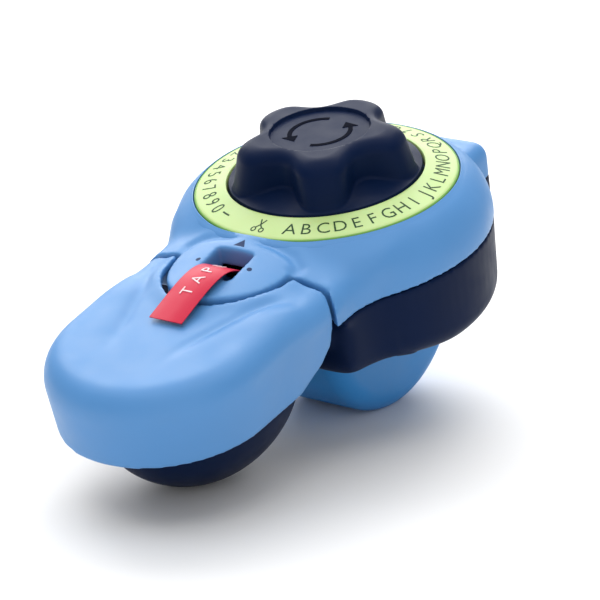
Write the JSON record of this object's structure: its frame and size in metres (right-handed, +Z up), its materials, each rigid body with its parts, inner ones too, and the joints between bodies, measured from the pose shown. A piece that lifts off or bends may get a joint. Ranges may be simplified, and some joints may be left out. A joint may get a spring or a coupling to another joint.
{
  "type": "embossing label maker",
  "caption": "Hand-held embossing label maker: letter dial with a lobed knob, squeeze handle, tape window, and a hinged tape door under the body.",
  "frame": {"origin": "middle of the bounding box, on the table that the tool stands on", "axes": "+Z up, -X towards the end of the squeeze handle, Y across; the dial's axis leans 12.2 degrees from +Z towards -X"},
  "size_m": [0.137, 0.0782, 0.0757],
  "materials": {
    "light_shell": "satin moulded ABS, light blue",
    "dark_shell": "satin moulded ABS, navy",
    "dial_green": "satin moulded plastic, lime green",
    "white_plastic": "natural acetal",
    "grey_plastic": "glass-filled nylon, grey",
    "steel": "plain steel",
    "spring_steel": "blued spring steel",
    "rubber": "black rubber",
    "tape_red": "glossy embossing tape, red"
  },
  "bodies": {
    "root": {"upper_housing": "light_shell", "lower_housing": "dark_shell", "case_screws": "steel", "detent_spring": "spring_steel", "handle_pivot_pin": "steel", "handle_spring": "spring_steel", "feed_frame": "grey_plastic", "guide_pin": "steel", "hinge_pin": "steel", "tape_strip": "tape_red"},
    "wheel": {"knob": "dark_shell", "dial_ring": "dial_green", "character_disc": "white_plastic", "wheel_shaft": "white_plastic", "wheel_screw": "steel"},
    "handle": {"handle_cover": "light_shell", "handle_lever": "grey_plastic", "feed_pawl": "spring_steel"},
    "platen": {"platen": "grey_plastic", "platen_pad": "rubber"},
    "cutter": {"cutter_holder": "grey_plastic", "cutter_blade": "steel"},
    "feed": {"feed_shaft": "steel", "feed_roller": "rubber", "ratchet_wheel": "white_plastic"},
    "guide": {"guide_roller": "white_plastic"},
    "door": {"tape_door": "light_shell", "tape_spindle": "white_plastic"},
    "roll": {"tape_roll": "tape_red", "tape_core": "white_plastic"}
  },
  "joints": [
    {"name": "dial_spin", "type": "hinge", "parent": "root", "child": "wheel", "pos_m": [0.02363, 0, 0.0591], "axis": [-0.2113, 0, 0.9774], "continuous": true},
    {"name": "handle_squeeze", "type": "hinge", "parent": "root", "child": "handle", "pos_m": [-0.01285, 0, 0.03382], "axis": [0, -1, 0], "range_deg": [0, 6], "stiffness_Nm_per_rad": 2, "springref_deg": -5.73, "deforming": ["handle_spring"]},
    {"name": "platen_lift", "type": "slide", "parent": "root", "child": "platen", "axis": [-0.2113, 0, 0.9774], "range_m": [0, 0.0015]},
    {"name": "cutter_lift", "type": "slide", "parent": "root", "child": "cutter", "axis": [-0.2113, 0, 0.9774], "range_m": [0, 0.0009]},
    {"name": "feed_spin", "type": "hinge", "parent": "root", "child": "feed", "pos_m": [0.01099, 0, 0.04184], "axis": [0, 1, 0], "continuous": true},
    {"name": "guide_spin", "type": "hinge", "parent": "root", "child": "guide", "pos_m": [0.04832, 0, 0.04899], "axis": [0, 1, 0], "continuous": true},
    {"name": "door_swing", "type": "hinge", "parent": "root", "child": "door", "pos_m": [0.0617, 0, 0.02968], "axis": [0, -1, 0], "range_deg": [0, 85]},
    {"name": "roll_spin", "type": "hinge", "parent": "door", "child": "roll", "pos_m": [0.03317, 0, 0.02208], "axis": [0, 1, 0], "continuous": true}
  ],
  "couplings": [
    {"joint": "platen_lift", "follows": "handle_squeeze", "m_per_rad": 0.0134},
    {"joint": "cutter_lift", "follows": "handle_squeeze", "m_per_rad": 0.0074}
  ]
}
